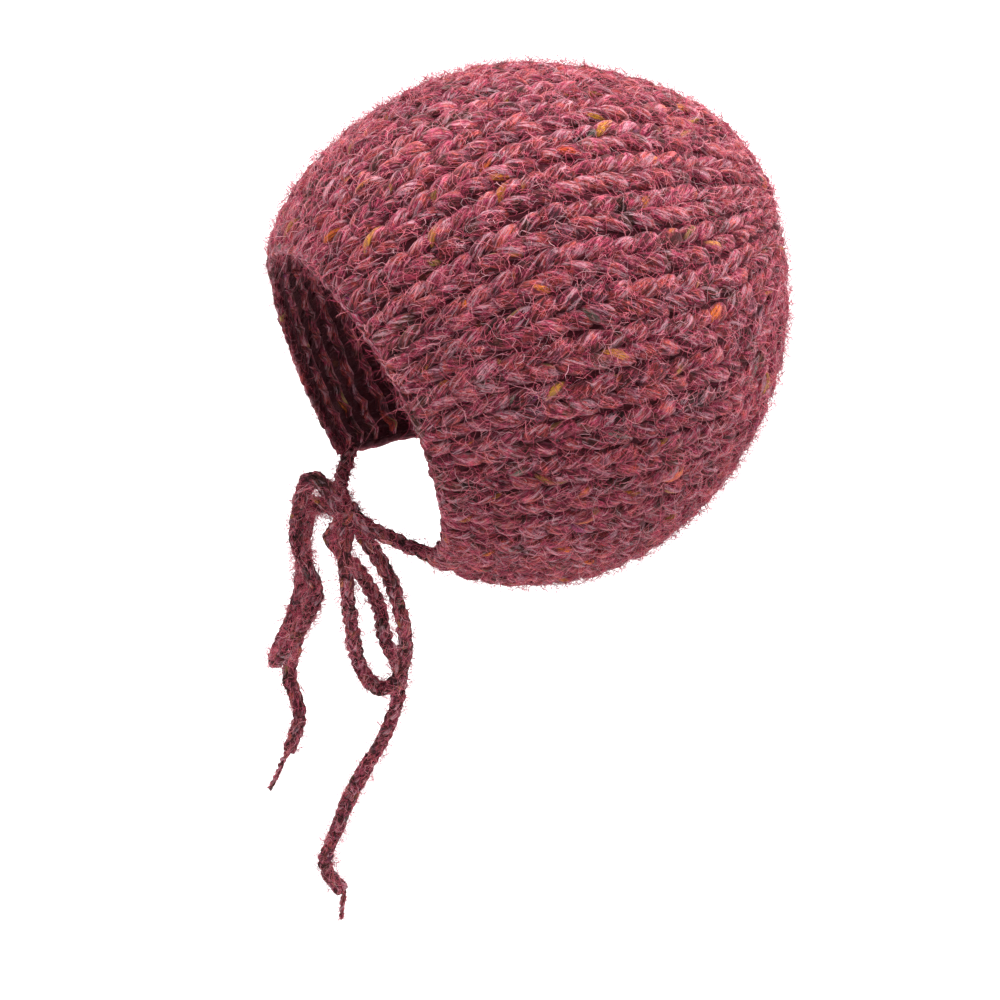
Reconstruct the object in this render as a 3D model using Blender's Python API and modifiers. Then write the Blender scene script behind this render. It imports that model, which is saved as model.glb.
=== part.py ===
"""Knitted newborn bonnet with a bow tied under the chin.

Metres, +Z up. The face opening looks along -Y and the wearer's left is +X.
The origin is the inside of the bonnet at the top of the crown.
"""
import math

import bmesh
import bpy
from mathutils import Quaternion, Vector

MM = 0.001

# Driving sizes of the knitted body
HEAD_RADIUS = 0.056
WALL = 0.0042
RIB_HEIGHT = 0.0010
WALES = 34
FACE_OPENING_RADIUS = 0.0373
FACE_TILT = math.radians(9.0)
CROWN_RISE = math.radians(12.0)
CROWN_TURN = math.radians(8.0)
GATHER_DIMPLE = 0.0016
GATHER_REACH = 0.04
RIB_FADE = 0.18

# Driving sizes of the ties
CORD_DIAMETER = 0.0042
YARN_DIAMETER = 0.0013
KNOT_RADIUS = 0.0048
CLEARANCE = 0.0003
CHEEK_CLEARANCE = 0.0005
CORD_POINT_SPACING = 0.0068
YARN_POINT_SPACING = 0.0030
CORD_ROUNDNESS = 2
CURVE_STEPS = 24
KNOT_SIDES = 14
KNOT_BANDS = 9

# Straight ends of the cords, and the way from the face edge to a tie, in cord diameters
SQUARE_END = 0.35
CHEEK_LEAD = 0.60
CHEEK_SETBACK = 0.75

# Rows from the face edge to the nape, and from the nape to the gathered crown
ROWS_TO_NAPE = 11
ROWS_TO_CROWN = 6
COLUMNS_PER_WALE = 3

# Points of the fabric that lie closer than this are one, as they are at the crown and the nape
WELD_DISTANCE = 0.00005

# The two neck edges: how far round from the top they start at the face edge,
# the share of the way back at which they meet at the nape, and how late they close
CHEEK_TURN = math.radians(145.0)
NAPE_SHARE = 0.66
NECK_EASE = 1.6

# Fullness of the fabric over the head.
# Columns: degrees round from the face to the left, degrees up,
# height as a share of the wall, reach in degrees.
FULLNESS = (
    (0.0, 38.0, 0.72, 24.0),
    (-40.0, 22.0, 0.40, 22.0),
    (176.0, 31.0, 1.30, 25.0),
    (60.0, 62.0, 0.22, 24.0),
    (128.0, -26.0, -0.50, 26.0),
)

# Gentle waves that unevenly stretched stitches leave in the surface.
# Columns: turns round, turns front to back, phase in degrees, height as a share of the wall.
WAVES = (
    (5.0, 2.0, 20.0, 0.055),
    (9.0, 3.0, 140.0, 0.040),
    (3.0, 5.0, 250.0, 0.035),
)

# Middle of the bow knot, under the chin, in millimetres
KNOT_CENTRE = Vector((0.0, -48.0, -93.5)) * MM

# Direction in which each cord leaves the knot.
# Columns: name, x, y, z.
KNOT_EXITS = {
    "tie_left": (0.88, 0.20, 0.43),
    "tie_right": (-0.88, 0.30, 0.36),
    "loop_left_a": (0.62, -0.45, -0.64),
    "loop_left_b": (0.75, 0.35, -0.56),
    "loop_right_a": (-0.45, -0.50, 0.74),
    "loop_right_b": (-0.85, -0.45, -0.10),
    "tail_short": (-0.72, 0.38, -0.58),
    "tail_long": (-0.45, -0.42, -0.79),
}

# Routes of the cords, points chosen by hand, in millimetres
ROUTES = {
    "tie_left": ((10.5, -45.0, -93.0),),
    "tie_right": ((-10.5, -44.5, -93.5),),
    "bow_loop_left": (
        (5.2, -52.0, -102.0), (6.3, -52.0, -112.5), (6.8, -51.5, -125.0), (7.0, -49.8, -136.0),
        (9.0, -46.6, -142.3), (11.6, -43.0, -139.5), (13.4, -41.2, -131.5), (13.4, -41.0, -122.5),
        (12.2, -42.2, -113.5), (10.2, -43.6, -105.5),
    ),
    "bow_loop_right": (
        (-6.4, -52.6, -85.6), (-9.4, -54.4, -89.5), (-10.2, -56.0, -96.0), (-10.4, -57.0, -105.0),
        (-9.2, -55.2, -113.2), (-7.8, -53.6, -120.2), (-8.9, -55.0, -127.6), (-10.8, -57.8, -134.5),
        (-13.4, -60.0, -141.5), (-17.1, -60.9, -147.6), (-21.0, -60.0, -149.8), (-22.6, -57.0, -146.6),
        (-21.8, -54.0, -139.0), (-20.2, -52.0, -128.0), (-19.6, -51.2, -116.0), (-18.8, -51.0, -106.0),
        (-14.2, -51.2, -98.4),
    ),
    "tail_short": (
        (-12.0, -45.2, -101.0), (-20.5, -45.6, -105.5), (-25.2, -46.6, -112.5), (-26.8, -47.6, -122.5),
        (-26.6, -47.4, -133.8), (-27.1, -48.4, -143.7), (-27.0, -50.6, -151.4), (-26.2, -53.2, -157.0),
        (-24.0, -55.0, -161.0), (-20.8, -55.2, -165.0), (-18.6, -55.4, -169.3), (-18.2, -56.8, -174.8),
        (-18.4, -59.0, -180.4),
    ),
    "tail_long": (
        (-4.8, -50.4, -102.8), (-5.2, -47.0, -110.5), (-4.2, -42.8, -118.5), (-2.4, -39.6, -128.0),
        (-1.9, -38.4, -139.5), (0.6, -36.0, -148.5), (0.3, -36.9, -158.2), (-1.5, -39.9, -170.0),
        (-4.1, -44.4, -181.8), (-6.7, -48.9, -194.0), (-8.8, -52.4, -207.0), (-10.1, -54.6, -215.8),
        (-9.2, -53.2, -222.4), (-7.9, -51.0, -226.2),
    ),
    "yarn_end_short": ((-19.2, -60.6, -183.8), (-20.0, -61.8, -188.2), (-21.2, -64.0, -194.3)),
    "yarn_end_long": ((-7.8, -50.9, -229.4), (-8.2, -51.4, -233.2), (-8.0, -51.8, -237.2)),
}

# Look of each piece.
# Columns: name, colour, roughness.
MATERIALS = {
    "heather_knit": ((0.36, 0.10, 0.12), 0.95),
    "heather_cord": ((0.33, 0.11, 0.12), 0.95),
    "yarn_tail": ((0.45, 0.20, 0.20), 0.95),
}


def clear_scene():
    """Remove the objects that a new file starts with."""
    for obj in list(bpy.data.objects):
        bpy.data.objects.remove(obj, do_unlink=True)


def make_material(name):
    """One Principled material from the table of looks."""
    colour, roughness = MATERIALS[name]
    material = bpy.data.materials.new(name)
    material.use_nodes = True
    shader = material.node_tree.nodes["Principled BSDF"]
    shader.inputs["Base Color"].default_value = (*colour, 1.0)
    shader.inputs["Roughness"].default_value = roughness
    shader.inputs["Metallic"].default_value = 0.0
    return material


def direction(round_angle, rise):
    """Unit vector a given angle round from the face to the left, and up."""
    return Vector((
        math.cos(rise) * math.sin(round_angle),
        -math.cos(rise) * math.cos(round_angle),
        math.sin(rise),
    ))


def neck_edge_turn(row_share):
    """Angle round from the top at which a row of stitches ends."""
    part = min(1.0, row_share / NAPE_SHARE) ** NECK_EASE
    ease = part * part * (3.0 - 2.0 * part)
    return CHEEK_TURN + (math.pi - CHEEK_TURN) * ease


# Frame of the fabric: straight back from the face opening, its top side and its left side
HEAD_CENTRE = Vector((0.0, 0.0, -HEAD_RADIUS))
BACK = direction(math.pi, FACE_TILT)
LEFT_SIDE = Vector((1.0, 0.0, 0.0))
TOP_SIDE = LEFT_SIDE.cross(BACK)
CROWN = direction(math.pi - CROWN_TURN, CROWN_RISE)
FACE_REACH = math.asin(FACE_OPENING_RADIUS / HEAD_RADIUS)


def fabric_normal(from_back, turn, row_share):
    """Unit vector at an angle from the back, turned round it from the top.

    The rows lean from square to the face opening towards the gathered crown.
    """
    side = TOP_SIDE * math.cos(turn) + LEFT_SIDE * math.sin(turn)
    normal = BACK * math.cos(from_back) + side * math.sin(from_back)
    normal.rotate(Quaternion(BACK.cross(CROWN).normalized(), BACK.angle(CROWN) * row_share))
    return normal


def fullness(normal):
    """Height of the fabric over the head in one direction."""
    height = 0.0
    for round_angle, rise, share, reach in FULLNESS:
        centre = direction(math.radians(round_angle), math.radians(rise))
        apart = centre.angle(normal) / math.radians(reach)
        height += share * WALL * math.exp(-apart * apart)
    return height


def waves(turn, row_share):
    """Height of the slight unevenness of the stitches."""
    fade = math.sin(math.pi * row_share)
    height = 0.0
    for turns_round, turns_back, phase, share in WAVES:
        angle = turns_round * turn + turns_back * math.pi * row_share + math.radians(phase)
        height += share * WALL * math.sin(angle)
    return height * fade


def fabric_point(side_share, row_share, lift=0.0):
    """Point of the middle of the fabric.

    side_share runs from -1 at the right neck edge to 1 at the left one,
    row_share from 0 at the face edge to 1 at the gathered crown.
    """
    turn = side_share * neck_edge_turn(row_share)
    normal = fabric_normal((math.pi - FACE_REACH) * (1.0 - row_share), turn, row_share)
    radius = HEAD_RADIUS + WALL / 2.0 + lift + fullness(normal) + waves(turn, row_share)
    gather = math.exp(-((row_share - 1.0) / GATHER_REACH) ** 2)
    return HEAD_CENTRE + normal * (radius - GATHER_DIMPLE * gather)


def row_shares():
    """Shares of the way to the crown at which the rows of the surface lie."""
    front = [NAPE_SHARE * row / ROWS_TO_NAPE for row in range(ROWS_TO_NAPE)]
    back = [
        NAPE_SHARE + (1.0 - NAPE_SHARE) * row / ROWS_TO_CROWN
        for row in range(ROWS_TO_CROWN + 1)
    ]
    return front + back


def rib_lift(column, row_share):
    """Height of the ribs: a groove between two columns of stitches, none at the edges."""
    fade = min(1.0, (1.0 - row_share) / RIB_FADE)
    if column % COLUMNS_PER_WALE == 0 and 0 < column < WALES * COLUMNS_PER_WALE:
        return -RIB_HEIGHT / 2.0 * fade
    return RIB_HEIGHT / 2.0 * fade


def make_bonnet(collection, material):
    """Knitted body: ribbed open surface, closed behind the nape, given its wall."""
    columns = WALES * COLUMNS_PER_WALE
    shares = row_shares()
    mesh = bpy.data.meshes.new("bonnet_body")
    work = bmesh.new()
    bmesh.ops.create_grid(work, x_segments=columns, y_segments=len(shares) - 1, size=1.0)
    for vert in work.verts:
        column = round((vert.co.x + 1.0) / 2.0 * columns)
        row_share = shares[round((vert.co.y + 1.0) / 2.0 * (len(shares) - 1))]
        side_share = 2.0 * column / columns - 1.0
        vert.co = fabric_point(side_share, row_share, rib_lift(column, row_share))
    bmesh.ops.remove_doubles(work, verts=work.verts, dist=WELD_DISTANCE)
    bmesh.ops.dissolve_degenerate(work, edges=work.edges, dist=WELD_DISTANCE / 5.0)
    bmesh.ops.recalc_face_normals(work, faces=work.faces)
    probe = max(work.faces, key=lambda face: face.calc_center_median().z)
    if probe.normal.z < 0.0:
        bmesh.ops.reverse_faces(work, faces=work.faces)
    work.to_mesh(mesh)
    work.free()
    mesh.shade_smooth()
    mesh.materials.append(material)
    bonnet = bpy.data.objects.new("bonnet_body", mesh)
    collection.objects.link(bonnet)
    wall = bonnet.modifiers.new("wall", "SOLIDIFY")
    wall.thickness = WALL
    wall.offset = 0.0
    return bonnet


def smooth_points(points, spacing):
    """Points at even spacing on the smooth curve through a route's own points."""
    padded = [points[0] * 2.0 - points[1], *points, points[-1] * 2.0 - points[-2]]
    fine = []
    for index in range(1, len(padded) - 2):
        before, start, end, after = padded[index - 1:index + 3]
        for step in range(CURVE_STEPS):
            part = step / CURVE_STEPS
            fine.append(0.5 * (
                start * 2.0
                + (end - before) * part
                + (before * 2.0 - start * 5.0 + end * 4.0 - after) * part ** 2
                + (start * 3.0 - before - end * 3.0 + after) * part ** 3
            ))
    fine.append(points[-1])
    lengths = [0.0]
    for first, second in zip(fine, fine[1:]):
        lengths.append(lengths[-1] + (second - first).length)
    count = max(2, round(lengths[-1] / spacing))
    even = []
    index = 0
    for step in range(count + 1):
        wanted = lengths[-1] * step / count
        while index < len(lengths) - 2 and lengths[index + 1] < wanted:
            index += 1
        part = (wanted - lengths[index]) / (lengths[index + 1] - lengths[index])
        even.append(fine[index].lerp(fine[index + 1], part))
    return even


def make_cord(collection, material, name, points, diameter):
    """Round cord with closed ends through the given points."""
    curve = bpy.data.curves.new(name, "CURVE")
    curve.dimensions = "3D"
    spline = curve.splines.new("POLY")
    spline.points.add(len(points) - 1)
    for point, place in zip(spline.points, points):
        point.co = (*place, 1.0)
    curve.bevel_depth = diameter / 2.0
    curve.bevel_resolution = CORD_ROUNDNESS
    curve.use_fill_caps = True
    curve.materials.append(material)
    cord = bpy.data.objects.new(name, curve)
    collection.objects.link(cord)
    return cord


def make_knot(collection, material):
    """Tight round knot that the cords come out of."""
    mesh = bpy.data.meshes.new("bow_knot")
    work = bmesh.new()
    bmesh.ops.create_uvsphere(
        work, u_segments=KNOT_SIDES, v_segments=KNOT_BANDS, radius=KNOT_RADIUS)
    work.to_mesh(mesh)
    work.free()
    mesh.shade_smooth()
    mesh.materials.append(material)
    knot = bpy.data.objects.new("bow_knot", mesh)
    knot.location = KNOT_CENTRE
    collection.objects.link(knot)
    return knot


def route_points(name):
    """A route's own points in metres."""
    return [Vector(point) * MM for point in ROUTES[name]]


def knot_exit(name):
    """Two points, the first just off the knot, that lead a cord squarely out of it."""
    way = Vector(KNOT_EXITS[name]).normalized()
    start = KNOT_CENTRE + way * (KNOT_RADIUS + CLEARANCE)
    return [start, start + way * CORD_DIAMETER * SQUARE_END]


def cheek_exit(side):
    """Two points, the first just off the neck edge, that lead a tie squarely out of it."""
    row_share = CORD_DIAMETER * CHEEK_SETBACK / (HEAD_RADIUS * (math.pi - FACE_REACH))
    edge = fabric_point(side, row_share)
    way = (edge - fabric_point(side * (1.0 - 1.0 / WALES), row_share)).normalized()
    start = edge + way * CHEEK_CLEARANCE
    return [start, start + way * CORD_DIAMETER * CHEEK_LEAD]


def make_ties(collection, cord_material, yarn_material):
    """The two chin ties, the two loops of the bow, its two tails and their yarn ends."""
    for name, side in (("tie_left", 1.0), ("tie_right", -1.0)):
        start, lead = cheek_exit(side)
        end, last = knot_exit(name)
        middle = smooth_points([lead, *route_points(name), last], CORD_POINT_SPACING)
        make_cord(collection, cord_material, name, [start, *middle, end], CORD_DIAMETER)
    for name, first_exit, last_exit in (
        ("bow_loop_left", "loop_left_a", "loop_left_b"),
        ("bow_loop_right", "loop_right_a", "loop_right_b"),
    ):
        start, lead = knot_exit(first_exit)
        end, last = knot_exit(last_exit)
        middle = smooth_points([lead, *route_points(name), last], CORD_POINT_SPACING)
        make_cord(collection, cord_material, name, [start, *middle, end], CORD_DIAMETER)
    for name, yarn_name in (("tail_short", "yarn_end_short"), ("tail_long", "yarn_end_long")):
        start, lead = knot_exit(name)
        middle = smooth_points([lead, *route_points(name)], CORD_POINT_SPACING)
        make_cord(collection, cord_material, name, [start, *middle], CORD_DIAMETER)
        way = (middle[-1] - middle[-2]).normalized()
        start = middle[-1] + way * CLEARANCE
        lead = start + way * YARN_DIAMETER * SQUARE_END
        middle = smooth_points([lead, *route_points(yarn_name)], YARN_POINT_SPACING)
        make_cord(collection, yarn_material, yarn_name, [start, *middle], YARN_DIAMETER)


def main():
    """Build the bonnet."""
    clear_scene()
    collection = bpy.data.collections.new("knitted_bonnet")
    bpy.context.scene.collection.children.link(collection)
    knit = make_material("heather_knit")
    cord = make_material("heather_cord")
    yarn = make_material("yarn_tail")
    make_bonnet(collection, knit)
    make_knot(collection, cord)
    make_ties(collection, cord, yarn)


main()
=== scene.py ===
"""Looks of the knitted newborn bonnet: its stitches, its brushed fibres and its tied cords.

Metres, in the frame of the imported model: +Z up, the face opening looks along -Y.
"""
import logging
import math
from collections.abc import Callable
from dataclasses import dataclass, replace
from enum import Enum

import bmesh
import bpy
import numpy as np
from mathutils import Euler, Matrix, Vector


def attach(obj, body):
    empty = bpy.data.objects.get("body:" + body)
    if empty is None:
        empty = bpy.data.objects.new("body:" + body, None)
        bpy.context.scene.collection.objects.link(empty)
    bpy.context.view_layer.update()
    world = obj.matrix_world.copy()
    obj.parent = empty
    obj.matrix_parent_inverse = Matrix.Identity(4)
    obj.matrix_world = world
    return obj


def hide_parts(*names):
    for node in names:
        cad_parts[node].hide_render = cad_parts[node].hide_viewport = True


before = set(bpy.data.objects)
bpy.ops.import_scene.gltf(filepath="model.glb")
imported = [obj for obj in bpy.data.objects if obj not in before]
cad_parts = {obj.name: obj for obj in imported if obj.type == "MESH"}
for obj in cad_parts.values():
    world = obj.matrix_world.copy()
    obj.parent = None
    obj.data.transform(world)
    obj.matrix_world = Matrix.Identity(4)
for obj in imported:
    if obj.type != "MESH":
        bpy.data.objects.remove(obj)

LOG = logging.getLogger("bonnet")
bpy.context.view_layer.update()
BODY = "root"
MM = 0.001
TURN = 2.0 * math.pi
# Each piece of yarn shows a stretch of one long yarn of this length
YARN_RUN = 50.0

Array = np.ndarray
Rng = np.random.Generator
Piece = bpy.types.Object
Material = bpy.types.Material
Colour = tuple[float, float, float]
Place = tuple[float, float, float]
Stops = tuple[tuple[float, Colour], ...]
Draw = Callable[[Rng, int], Array]


def unit(vectors: Array) -> Array:
    """Vectors of length one, where the last axis holds x, y and z."""
    return vectors / np.maximum(np.linalg.norm(vectors, axis=-1, keepdims=True), 1e-12)


def clamp(values: Array) -> Array:
    """Values kept between 0 and 1."""
    return np.clip(values, 0.0, 1.0)


def linear(red: float, green: float, blue: float) -> Colour:
    """Scene colour, from 0 to 1, of a screen colour from 0 to 255."""
    return tuple((value / 255.0) ** 2.2 for value in (red, green, blue))


def ramp_stops(*stops: tuple[float, float, float, float]) -> Stops:
    """Place and scene colour of stops that are given as place, red, green and blue."""
    return tuple((place, linear(*colour)) for place, *colour in stops)


def even(low: float, high: float) -> Draw:
    """Draw of values spread evenly."""
    return lambda rng, count: rng.uniform(low, high, count)


def bell(middle: float, width: float) -> Draw:
    """Draw of values most of which lie near the middle."""
    return lambda rng, count: rng.normal(middle, width, count)


def tailed(base: float, form: float, scale: float, top: float = math.inf) -> Draw:
    """Draw of values over a base, few of them far over it and none over the top."""
    return lambda rng, count: np.minimum(base + rng.gamma(form, scale, count), top)


def both_ways(width: float) -> Draw:
    """Draw of angles near 0 and near half a turn."""
    return lambda rng, count: rng.normal(0.0, width, count) + math.pi * rng.integers(0, 2, count)


ANY_ANGLE = even(0.0, TURN)


class Slot(Enum):
    """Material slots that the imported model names."""

    KNIT = "heather_knit"
    CORD = "heather_cord"
    YARN = "yarn_tail"


@dataclass(frozen=True)
class BeadShape:
    """Closed form that is copied many times and bent into place."""

    axial: Array
    around: Array
    girth: Array
    loops: Array
    starts: Array

    @classmethod
    def from_bmesh(cls, work: bmesh.types.BMesh, axial: Array, girth: Array) -> "BeadShape":
        """Read a bmesh that stands along Z, and free it.

        Args:
            work: the closed form.
            axial: place of each vertex along the form, from 0 to 1.
            girth: distance of each vertex from the middle line, from 0 to 1.

        Returns:
            The form as arrays.
        """
        around = np.array([math.atan2(vert.co.y, vert.co.x) for vert in work.verts])
        # The operators give the faces in any order, so they are put in one that is the same each run
        faces = sorted([[vert.index for vert in face.verts] for face in work.faces], key=sorted)
        starts = np.cumsum([0] + [len(face) for face in faces[:-1]])
        work.free()
        return cls(axial, around, girth, np.concatenate(faces), starts)


def spindle(sides: int, bands: int, fulness: float = 2.6) -> BeadShape:
    """Piece of yarn of length 1 and greatest radius 1 that tapers to a point at both ends.

    Args:
        sides: faces around it.
        bands: faces along it.
        fulness: how late it tapers; 2 is an ellipse.

    Returns:
        The form.
    """
    work = bmesh.new()
    bmesh.ops.create_uvsphere(work, u_segments=sides, v_segments=bands, radius=1.0)
    work.verts.index_update()
    height = np.array([vert.co.z for vert in work.verts])
    girth = np.sqrt(np.maximum(1.0 - np.abs(height) ** fulness, 0.0))
    return BeadShape.from_bmesh(work, (height + 1.0) / 2.0, girth)


def fibre(segments: int, taper: float = 0.5) -> BeadShape:
    """Thin three-sided strand of length 1 and root radius 1, with a closed root and a pointed tip.

    Args:
        segments: stretches along it.
        taper: radius just before its tip.

    Returns:
        The form.
    """
    work = bmesh.new()
    bmesh.ops.create_cone(work, cap_ends=True, segments=3, radius1=1.0, radius2=0.0, depth=1.0)
    long_edges = [edge for edge in work.edges if abs(edge.verts[0].co.z - edge.verts[1].co.z) > 0.5]
    bmesh.ops.subdivide_edges(work, edges=long_edges, cuts=segments - 1, use_grid_fill=True)
    work.verts.index_update()
    axial = np.array([round((vert.co.z + 0.5) * segments) / segments for vert in work.verts])
    girth = np.where(axial > 0.999, 0.0, 1.0 - (1.0 - taper) * axial)
    return BeadShape.from_bmesh(work, axial, girth)


def link(name: str, data: object) -> Piece:
    """New object in the scene with the given mesh, lamp or camera."""
    obj = bpy.data.objects.new(name, data)
    bpy.context.scene.collection.objects.link(obj)
    return obj


def dress(obj: Piece, material: Material) -> Piece:
    """Give a piece its material and its body.

    Args:
        obj: the piece.
        material: its material.

    Returns:
        The piece.
    """
    obj.data.materials.clear()
    obj.data.materials.append(material)
    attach(obj, BODY)
    LOG.info("%s: %d faces", obj.name, len(obj.data.polygons))
    return obj


class MeshMaker:
    """Joins many bent copies of one form into one mesh object."""

    def __init__(self, name: str, shape: BeadShape, seed: int) -> None:
        """Start an empty mesh.

        Args:
            name: name of the object.
            shape: the form that is copied.
            seed: seed of its random numbers.
        """
        self.name = name
        self.shape = shape
        self.rng = np.random.default_rng(seed)
        self.places: list[Array] = []
        self.facts: dict[str, list[Array]] = {}

    @property
    def axes(self) -> tuple[Array, Array, Array]:
        """Each vertex's share of the length, angle round the middle line and share of the radius."""
        return self.shape.axial[None, :], self.shape.around[None, :], self.shape.girth[None, :]

    def add(self, places: Array, **facts: Array) -> None:
        """Add copies.

        Args:
            places: the vertices of each copy, as copies by vertices by 3.
            **facts: values kept at the vertices for the material.
        """
        self.places.append(places)
        for key, values in facts.items():
            whole = np.broadcast_to(values, places.shape[:2] + np.shape(values)[2:])
            self.facts.setdefault(key, []).append(whole)

    def add_yarn(
        self, places: Array, size: tuple[float, float], shade: object, proud: object, twist: float = 0.0
    ) -> None:
        """Add copies that are pieces of yarn, each with a stretch of its own of the yarn's pattern.

        Args:
            places: the vertices of each piece, as pieces by vertices by 3.
            size: length and radius of a piece on the pattern.
            shade: how light each piece is, about 0.5 in the middle.
            proud: how far each vertex stands out of the gaps, from 0 to 1; shade is painted where it is low.
            twist: turn of the pattern along a piece.
        """
        along, around, girth = self.axes
        length, radius = size
        start = self.rng.uniform(0.0, YARN_RUN, (len(places), 1))
        spin = around + twist * along
        parts = (start + along * length, girth * np.cos(spin) * radius, girth * np.sin(spin) * radius)
        yarn = np.stack([np.broadcast_to(part, places.shape[:2]) for part in parts], axis=-1)
        self.add(places, yarn=yarn, shade=shade, proud=clamp(proud))

    def _turned_in(self, places: Array, faces: list[Array]) -> bool:
        """Whether a copy's faces point into it, so that its volume comes out below zero."""
        fans = [(face[0], *pair) for face in faces for pair in zip(face[1:-1], face[2:])]
        return float(np.linalg.det(places[np.array(fans)] - places.mean(axis=0)).sum()) < 0.0

    def finish(self, material: Material, slot: Slot) -> Piece:
        """Build and dress the object.

        Args:
            material: its material.
            slot: not used.

        Returns:
            The object.
        """
        places = np.concatenate(self.places)
        count, verts, _ = places.shape
        loops, starts = self.shape.loops, self.shape.starts
        faces = np.split(loops, starts[1:])
        if self._turned_in(places[0], faces):
            loops = np.concatenate([face[::-1] for face in faces])
        steps = np.arange(count)[:, None]
        corners = loops[None, :] + steps * verts
        firsts = starts[None, :] + steps * len(loops)
        mesh = bpy.data.meshes.new(self.name)
        mesh.vertices.add(count * verts)
        mesh.vertices.foreach_set("co", places.astype(np.float32).ravel())
        mesh.loops.add(corners.size)
        mesh.loops.foreach_set("vertex_index", corners.astype(np.int32).ravel())
        mesh.polygons.add(firsts.size)
        mesh.polygons.foreach_set("loop_start", firsts.astype(np.int32).ravel())
        mesh.update(calc_edges=True)
        for key, parts in self.facts.items():
            values = np.concatenate(parts).astype(np.float32)
            kind, field = ("FLOAT_VECTOR", "vector") if values.ndim == 3 else ("FLOAT", "value")
            mesh.attributes.new(key, kind, "POINT").data.foreach_set(field, values.ravel())
        mesh.validate()
        mesh.shade_smooth()
        return dress(link(self.name, mesh), material)


@dataclass(frozen=True)
class FabricForm:
    """Shape of the knitted body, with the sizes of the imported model."""

    head_radius: float = 0.056
    wall: float = 0.0042
    wales: int = 34
    face_opening_radius: float = 0.0373
    face_tilt: float = math.radians(9.0)
    crown_rise: float = math.radians(12.0)
    crown_turn: float = math.radians(8.0)
    gather_dimple: float = 0.0016
    gather_reach: float = 0.04
    cheek_turn: float = math.radians(145.0)
    nape_share: float = 0.66
    neck_ease: float = 1.6
    # Degrees round from the face to the left, degrees up, height as a share of the wall, reach in degrees
    fullness: tuple[tuple[float, float, float, float], ...] = (
        (0.0, 38.0, 0.72, 24.0), (-40.0, 22.0, 0.40, 22.0), (176.0, 31.0, 1.30, 25.0),
        (60.0, 62.0, 0.22, 24.0), (128.0, -26.0, -0.50, 26.0),
    )
    # Turns round, turns front to back, phase in degrees, height as a share of the wall
    waves: tuple[tuple[float, float, float, float], ...] = (
        (5.0, 2.0, 20.0, 0.055), (9.0, 3.0, 140.0, 0.040), (3.0, 5.0, 250.0, 0.035),
    )

    @staticmethod
    def direction(round_angle: float, rise: float) -> Array:
        """Unit vector a given angle round from the face to the left, and up."""
        return np.array([
            math.cos(rise) * math.sin(round_angle),
            -math.cos(rise) * math.cos(round_angle),
            math.sin(rise),
        ])

    @property
    def centre(self) -> Array:
        """Middle of the round form that the bonnet fits."""
        return np.array([0.0, 0.0, -self.head_radius])

    @property
    def face_reach(self) -> float:
        """Angle from the middle of the face opening to its edge."""
        return math.asin(self.face_opening_radius / self.head_radius)

    def edge_turn(self, row: Array) -> Array:
        """Angle round from the top at which a row of stitches ends.

        Args:
            row: share of the way from the face edge to the crown.

        Returns:
            The angle in radians.
        """
        part = clamp(row / self.nape_share) ** self.neck_ease
        return self.cheek_turn + (math.pi - self.cheek_turn) * part * part * (3.0 - 2.0 * part)

    def normal(self, side: Array, row: Array) -> Array:
        """Outward direction of the fabric.

        Args:
            side: place across the fabric, from -1 at the right neck edge to 1 at the left one.
            row: share of the way from the face edge to the crown.

        Returns:
            Unit vectors.
        """
        back = self.direction(math.pi, self.face_tilt)
        left = np.array([1.0, 0.0, 0.0])
        top = np.cross(left, back)
        turn = side * self.edge_turn(row)
        from_back = (math.pi - self.face_reach) * (1.0 - row)
        across = np.cos(turn)[..., None] * top + np.sin(turn)[..., None] * left
        normal = np.cos(from_back)[..., None] * back + np.sin(from_back)[..., None] * across
        crown = self.direction(math.pi - self.crown_turn, self.crown_rise)
        axis = np.cross(back, crown)
        lean = math.atan2(float(np.linalg.norm(axis)), float(np.dot(back, crown)))
        axis = axis / np.linalg.norm(axis)
        angle = (lean * clamp(row))[..., None]
        along = (normal @ axis)[..., None] * axis
        return normal * np.cos(angle) + np.cross(axis, normal) * np.sin(angle) + along * (1.0 - np.cos(angle))

    def points(self, side: Array, row: Array, lift: Array) -> Array:
        """Points of the fabric.

        Args:
            side: place across the fabric, from -1 to 1.
            row: share of the way from the face edge to the crown; below 0 it runs on past the edge.
            lift: height over the middle of the wall.

        Returns:
            Points in metres.
        """
        side, row, lift = np.broadcast_arrays(side, row, lift)
        normal = self.normal(side, row)
        height = np.zeros(side.shape)
        for round_angle, rise, share, reach in self.fullness:
            middle = self.direction(math.radians(round_angle), math.radians(rise))
            apart = np.arccos(np.clip(normal @ middle, -1.0, 1.0)) / math.radians(reach)
            height = height + share * self.wall * np.exp(-apart * apart)
        turn = side * self.edge_turn(row)
        fade = np.sin(math.pi * clamp(row))
        for turns_round, turns_back, phase, share in self.waves:
            angle = turns_round * turn + turns_back * math.pi * row + math.radians(phase)
            height = height + share * self.wall * np.sin(angle) * fade
        gather = np.exp(-((row - 1.0) / self.gather_reach) ** 2)
        radius = self.head_radius + self.wall / 2.0 + lift + height - self.gather_dimple * gather
        return self.centre + normal * radius[..., None]


FORM = FabricForm()


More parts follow.
